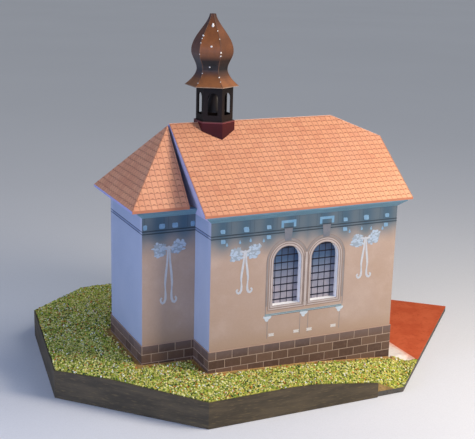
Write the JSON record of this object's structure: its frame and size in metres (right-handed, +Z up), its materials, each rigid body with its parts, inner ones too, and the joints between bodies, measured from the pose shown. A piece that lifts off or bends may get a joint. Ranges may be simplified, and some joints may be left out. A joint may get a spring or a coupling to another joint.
{
  "type": "card model of a small chapel on a landscaped board",
  "caption": "Printed card model of a small chapel with tiled roofs, a hexagonal open lantern, an onion dome and a hanging bell, on a turfed scenic board.",
  "frame": {"origin": "on the underside of the board, below the middle of the nave in plan", "axes": "+X along the nave towards the entrance, +Z up from the table, +Y away from the near side wall"},
  "size_m": [0.2478, 0.1701, 0.1779],
  "materials": {
    "grey_board": "matt",
    "earth": "painted earth over a paper shell",
    "flock": "flocked",
    "red_paper": "matt",
    "plaster": "rough",
    "painted_strip": "painted, matt",
    "printed_wall": "printed",
    "printed_stone": "printed",
    "printed_pane": "printed",
    "printed_door": "printed",
    "printed_cornice": "printed",
    "printed_tile": "printed",
    "plain_card": "plain",
    "maroon_card": "printed",
    "dark_card": "printed",
    "glazed_card": "coated, satin",
    "bell_card": "printed"
  },
  "bodies": {
    "root": {"base_board": "grey_board", "landform": "earth", "turf": "flock", "earth_strip": "earth", "paving_sheet": "red_paper", "plaster_ramp": "plaster", "edge_strip_near": "painted_strip", "edge_strip_near_left": "painted_strip", "edge_strip_left": "painted_strip", "edge_strip_back_left": "painted_strip", "edge_strip_back": "painted_strip", "nave_wall_near": "printed_wall", "nave_wall_far": "printed_wall", "nave_gable_wall": "printed_wall", "nave_front_wall": "printed_wall", "nave_plinth_sides": "printed_stone", "nave_plinth_gable": "printed_stone", "nave_plinth_front": "printed_stone", "window_panes": "printed_pane", "entrance_door": "printed_door", "door_step": "grey_board", "nave_cornice_sides": "printed_cornice", "nave_cornice_front": "printed_cornice", "nave_roof_near": "printed_tile", "nave_roof_far": "printed_tile", "nave_half_hip": "printed_tile", "rake_coves": "plain_card", "chancel_wall_near": "printed_wall", "chancel_wall_far": "printed_wall", "chancel_wall_end": "printed_wall", "chancel_plinth_sides": "printed_stone", "chancel_plinth_end": "printed_stone", "chancel_cornice_sides": "printed_cornice", "chancel_cornice_end": "printed_cornice", "chancel_ceiling": "plain_card", "chancel_roof_near": "printed_tile", "chancel_roof_far": "printed_tile", "chancel_roof_end": "printed_tile", "turret_base": "maroon_card", "lantern_floor": "maroon_card", "lantern_wall": "dark_card", "lantern_ceiling": "dark_card", "onion_dome": "glazed_card", "bell": "bell_card", "bell_hanger": "bell_card"}
  },
  "joints": []
}
